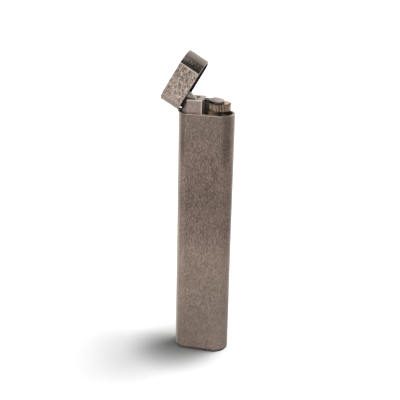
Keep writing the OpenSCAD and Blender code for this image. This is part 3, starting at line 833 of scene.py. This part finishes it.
def bark_metal(name, clean, seam_and_shade, bright, smooth, inside_shade, roughness, turn):
    """Lid plate: bark wearing plain on the rounded ends, with bright edges, a painted highlight on the
    ridge, painted shade beyond it, a darker hinge end and painted shade inside.
    """
    material, tree, shader = start_material(name)
    place = pattern_place(tree, turn)
    strokes = put(tree, "ShaderNodeMapping", {"Vector": place, "Scale": (0.6, 1, 1)}).outputs[0]
    bark = use(tree, BARK, {"Vector": strokes, "Size": 0.48 * MM})
    across = coordinates(tree, place)[0]
    plain = math_node(tree, "MAXIMUM", remap(tree, across, *BARK_END), remap(tree, across, *BARK_FADE))
    # A painted highlight along the ridge between the lid's front and its far end
    ridge = math_node(tree, "SUBTRACT", reaches(tree, across, HALF_FLAT, 0.2 * MM), plain, clamp=True)
    flakes = remap(tree, plain, 0.0, 1.0, bark.outputs["Flakes"], 0.75)
    tops = math_node(tree, "MULTIPLY", bark.outputs["Tops"], remap(tree, plain, 0.0, 1.0, 1.0, 0.25))
    marks = use(tree, FINE_GRAIN, {"Vector": pattern_place(tree), "Size": 0.32 * MM, "Stretch": 2.5})
    edge = math_node(tree, "MAXIMUM", ridge, use(tree, EDGE_WEAR, {"Radius": 0.2 * MM}).outputs["Edge"])
    colour = mix_colour(tree, flakes, (*seam_and_shade, 1), (*clean, 1))
    colour = mix_colour(tree, tops, colour, (*bright, 1))
    colour = mix_colour(tree, math_node(tree, "MULTIPLY", plain, 0.85), colour, (*smooth, 1))
    # Painted shade beyond the ridge, and darker towards the hinge end
    end_darkening = math_node(tree, "MAXIMUM", within(tree, across, *FAR_END_SHADE),
                      remap(tree, across, *NEAR_END_DARKER))
    colour = mix_colour(tree, end_darkening, colour, (*seam_and_shade, 1))
    depth = remap(tree, plain, 0.0, 1.0, 0.6, 0.15)
    shade = remap(tree, marks.outputs["Scratches"], 0.0, 1.0, math_node(tree, "SUBTRACT", 1.0, depth),
                  math_node(tree, "ADD", 1.0, depth))
    toned = put(tree, "ShaderNodeVectorMath", {0: colour, 1: shade}, operation="MULTIPLY").outputs[0]
    colour = mix_colour(tree, math_node(tree, "MULTIPLY", edge, 0.8), toned, (*bright, 1))
    # Painted shade on the lid's inside and its mouth edge
    inside = put(tree, "ShaderNodeAttribute", attribute_name="inside").outputs["Fac"]
    tree.links.new(mix_colour(tree, inside, colour, (*inside_shade, 1)), shader.inputs["Base Color"])
    shader.inputs["Metallic"].default_value = 1.0
    gloss = remap(tree, plain, 0.0, 1.0, roughness, 0.55 * roughness)
    tree.links.new(gloss, shader.inputs["Roughness"])
    bump = put(tree, "ShaderNodeBump", {"Height": bark.outputs["Relief"], "Distance": 0.06 * MM,
                                        "Strength": 0.6})
    tree.links.new(bump.outputs[0], shader.inputs["Normal"])
    return material


def dull_matter(name, colour, second, roughness, grain):
    """Rubber, foam or sintered matter: not metallic, with a fine mottled skin."""
    material, tree, shader = start_material(name)
    place = pattern_place(tree)
    marks = use(tree, FINE_GRAIN, {"Vector": place, "Size": grain, "Stretch": 1.0})
    tree.links.new(mix_colour(tree, marks.outputs["Specks"], (*colour, 1), (*second, 1)),
                   shader.inputs["Base Color"])
    shader.inputs["Roughness"].default_value = roughness
    bump = put(tree, "ShaderNodeBump", {"Height": marks.outputs["Relief"], "Distance": 0.03 * MM,
                                        "Strength": 0.5})
    tree.links.new(bump.outputs[0], shader.inputs["Normal"])
    return material


finishes = {
    "case_silver": satin_metal("tarnished silver", (0.345, 0.257, 0.217), (0.26, 0.19, 0.16),
                               (0.82, 0.70, 0.57), 0.34, grain=0.22 * MM, stretch=3, contrast=0.6,
                               bright_share=0.95, highlight_mask=case_highlight_and_bands, dark_mask=case_shade_and_band,
                               dark_depth=0.3),
    "lid_silver": bark_metal("bark silver", (0.66, 0.505, 0.42), (0.15, 0.108, 0.087),
                             (1.0, 0.92, 0.84), (0.38, 0.32, 0.28), (0.10, 0.085, 0.08), 0.36,
                             LID_OPEN),
    "guard_satin": satin_metal("guard plate", (0.50, 0.38, 0.335), (0.41, 0.31, 0.28),
                               (1.0, 0.92, 0.85), 0.36, grain=0.3 * MM, stretch=2, contrast=0.2,
                               bright_share=0.9, metallic=0.75, highlight_mask=guard_highlight,
                               dark_mask=guard_end_dark, dark_depth=0.6),
    "bridge_satin": satin_metal("bridge plate", (0.44, 0.37, 0.335), (0.38, 0.32, 0.285),
                                (0.68, 0.61, 0.56), 0.5, grain=0.3 * MM, stretch=1.5, contrast=0.12,
                                metallic=0.55, dark_mask=brow_shade, dark_depth=0.18),
    "arm_satin": satin_metal("lid arm plate", (0.85, 0.76, 0.67), (0.52, 0.46, 0.40),
                             (0.85, 0.78, 0.70), 0.4, grain=0.3 * MM, stretch=5, contrast=0.35,
                             turn=math.radians(35)),
    "wheel_bronze": satin_metal("browned wheel", (0.84, 0.61, 0.45), (0.42, 0.285, 0.195),
                                (1.0, 0.86, 0.70), 0.4, grain=0.5 * MM, stretch=14, contrast=0.5,
                                wear=0.12 * MM, full_wear=0.93, dark_mask=groove_dark, dark_depth=0.05),
    "tank_brass": satin_metal("tank brass", (0.75, 0.62, 0.46), (0.56, 0.45, 0.33),
                              (0.8, 0.7, 0.55), 0.5, metallic=0.5, dark_mask=wheel_end_shade,
                              dark_depth=0.2),
    "plate_brass": satin_metal("stamped brass", (0.85, 0.70, 0.55), (0.62, 0.50, 0.38),
                               (0.8, 0.7, 0.6), 0.5, metallic=0.6, dark_mask=wheel_end_shade,
                               dark_depth=0.2),
    "turned_brass": satin_metal("turned brass", (0.85, 0.72, 0.56), (0.66, 0.55, 0.42),
                                (0.9, 0.8, 0.64), 0.36, contrast=0.15, metallic=0.5),
    "hard_steel": satin_metal("file steel", (0.14, 0.13, 0.125), (0.08, 0.07, 0.07),
                              (0.35, 0.34, 0.33), 0.4),
    "pin_steel": satin_metal("ground steel", (0.34, 0.32, 0.3), (0.22, 0.2, 0.18),
                             (0.6, 0.58, 0.55), 0.3, contrast=0.12),
    "spring_steel": satin_metal("spring steel", (0.42, 0.41, 0.40), (0.28, 0.27, 0.26),
                                (0.6, 0.6, 0.6), 0.3, contrast=0.15),
    # Near black as painted shade, where the hinge sits in shadow
    "hinge_dark": satin_metal("dark hinge", (0.10, 0.08, 0.065), (0.05, 0.04, 0.035),
                              (0.24, 0.2, 0.17), 0.45),
    "filter_bronze": satin_metal("sintered bronze", (0.3, 0.22, 0.13), (0.2, 0.14, 0.08),
                                 (0.4, 0.3, 0.2), 0.6, grain=0.15 * MM, stretch=1),
    "flint_grey": dull_matter("flint", (0.09, 0.085, 0.08), (0.16, 0.15, 0.14), 0.7, 0.2 * MM),
    "seal_black": dull_matter("seal rubber", (0.02, 0.02, 0.02), (0.04, 0.04, 0.04), 0.6, 0.2 * MM),
    "foam_grey": dull_matter("foam", (0.14, 0.14, 0.13), (0.25, 0.25, 0.23), 0.95, 0.15 * MM),
}

slot_of = {entry["node"]: entry["material_slot"] for entry in frame["record"]["subparts"]}
for node_name, node in frame["nodes"].items():
    node.data.materials.clear()
    node.data.materials.append(finishes[slot_of[node_name]])

case_sleeve(finishes["case_silver"])
lid_cap(finishes["lid_silver"])
guard_hood(finishes["guard_satin"])
lid_horn(finishes["arm_satin"])
knurled_wheel(finishes["wheel_bronze"])
bridge_head(finishes["bridge_satin"])
pressed_spring("filler_spring")
pressed_spring("lever_spring")


def reflected(rays):
    """1 for rays that left a glossy or clear surface."""
    return math_node(rays.id_data, "MAXIMUM", rays.outputs["Is Glossy Ray"],
                     rays.outputs["Is Transmission Ray"])


def studio_floor():
    """White paper, painted dimmer at the foot as a painted shadow where the shadow is deepest, and
    brighter behind in metal.
    """
    bm = bmesh.new()
    bmesh.ops.create_grid(bm, x_segments=1, y_segments=1, size=FLOOR_REACH)
    mesh = bpy.data.meshes.new("floor")
    bm.to_mesh(mesh)
    bm.free()
    floor = bpy.data.objects.new("floor", mesh)
    bpy.context.scene.collection.objects.link(floor)
    material, tree, shader = start_material("paper")
    shader.inputs["Roughness"].default_value = 1.0
    shader.inputs["Specular IOR Level"].default_value = 0.0
    place = pattern_place(tree)
    rays = put(tree, "ShaderNodeLightPath")
    mirrored = reflected(rays)
    # A painted shadow on the paper round the foot
    to_heart = put(tree, "ShaderNodeVectorMath", {0: place, 1: SHADOW_HEART}, operation="DISTANCE")
    clear = put(tree, "ShaderNodeMapRange", {0: to_heart.outputs["Value"], 1: SHADOW[0], 2: SHADOW[1]},
                interpolation_type="SMOOTHSTEP").outputs[0]
    paper = mix_colour(tree, clear, grey(PAPER_AT_FOOT), grey(PAPER))
    paper = mix_colour(tree, mirrored, paper, grey(PAPER_IN_METAL))
    tree.links.new(paper, shader.inputs["Base Color"])
    away = put(tree, "ShaderNodeVectorMath", {0: place}, operation="LENGTH").outputs["Value"]
    heading = put(tree, "ShaderNodeVectorMath", {0: place}, operation="NORMALIZE").outputs[0]
    across, depth, _ = coordinates(tree, heading)
    glow = math_node(tree, "MULTIPLY", rays.outputs["Is Camera Ray"],
                     math_node(tree, "ADD", remap(tree, away, *NEAR_GLOW), remap(tree, away, *FAR_GLOW)))
    beside = math_node(tree, "ADD", remap(tree, depth, *FRONT_SHEEN), remap(tree, across, *LEFT_SHEEN))
    sheen = math_node(tree, "MULTIPLY", remap(tree, away, *FOOT_SHEEN),
                      math_node(tree, "ADD", remap(tree, depth, *BACK_SHEEN), beside))
    glow = math_node(tree, "ADD", glow, math_node(tree, "MULTIPLY", sheen, mirrored))
    shader.inputs["Emission Color"].default_value = grey(1.0)
    tree.links.new(glow, shader.inputs["Emission Strength"])
    mesh.materials.append(material)


def studio_world():
    """Even light; reflections show a pale backdrop, a pale ceiling and a dark front corner."""
    world = bpy.data.worlds.new("studio")
    bpy.context.scene.world = world
    world.use_nodes = True
    tree = world.node_tree
    background = tree.nodes["Background"]
    heading = put(tree, "ShaderNodeTexCoord").outputs["Generated"]
    depth = put(tree, "ShaderNodeSeparateXYZ", {0: heading}).outputs["Y"]
    overhead, dark_corner = [
        put(tree, "ShaderNodeVectorMath", {0: heading, 1: side}, operation="DOT_PRODUCT").outputs["Value"]
        for side in (OVERHEAD, DARK_CORNER)]
    rays = put(tree, "ShaderNodeLightPath")
    mirrored = reflected(rays)
    wall = math_node(tree, "MULTIPLY", remap(tree, depth, *WALL), remap(tree, dark_corner, *CORNER))
    ceiling = remap(tree, overhead, *CEILING)
    room = math_node(tree, "MULTIPLY", math_node(tree, "MAXIMUM", wall, ceiling), mirrored)
    diffuse = remap(tree, mirrored, 0.0, 1.0, AMBIENT, 0.0)
    strength = math_node(tree, "MAXIMUM", math_node(tree, "ADD", room, diffuse),
                         rays.outputs["Is Camera Ray"])
    background.inputs["Color"].default_value = grey(1.0)
    tree.links.new(strength, background.inputs["Strength"])


def key_light():
    """Square softbox behind the lighter to the right, which metal doesn't mirror."""
    lamp = bpy.data.lights.new("key", "AREA")
    lamp.shape = "RECTANGLE"
    lamp.size = lamp.size_y = KEY_SIDE
    lamp.energy = KEY_POWER
    softbox = bpy.data.objects.new("key", lamp)
    softbox.location = KEY_PLACE
    softbox.rotation_euler = (Vector(KEY_AIM) - Vector(KEY_PLACE)).to_track_quat("-Z", "Y").to_euler()
    softbox.visible_glossy = False
    bpy.context.scene.collection.objects.link(softbox)


def place_camera():
    """The photograph's camera."""
    right = Vector((math.cos(AZIMUTH), math.sin(AZIMUTH), 0))
    ahead = Vector((-math.sin(AZIMUTH) * math.cos(ELEVATION), math.cos(AZIMUTH) * math.cos(ELEVATION),
                    -math.sin(ELEVATION)))
    up = right.cross(ahead)
    target = right * AIM_ASIDE + Vector((0, 0, AIM_HEIGHT))
    data = bpy.data.cameras.new("camera")
    data.sensor_width = SENSOR
    data.lens = FOCAL_PIXELS * SENSOR / IMAGE_SIDE
    data.clip_start, data.clip_end = 0.01, 20
    camera = bpy.data.objects.new("camera", data)
    bpy.context.scene.collection.objects.link(camera)
    side = right * math.cos(ROLL) + up * math.sin(ROLL)
    top = up * math.cos(ROLL) - right * math.sin(ROLL)
    turned = Matrix((side, top, -ahead)).transposed().to_4x4()
    camera.matrix_world = Matrix.Translation(target - ahead * DISTANCE) @ turned
    bpy.context.scene.camera = camera


studio_floor()
studio_world()
key_light()
place_camera()
bpy.context.scene.view_settings.view_transform = "Standard"
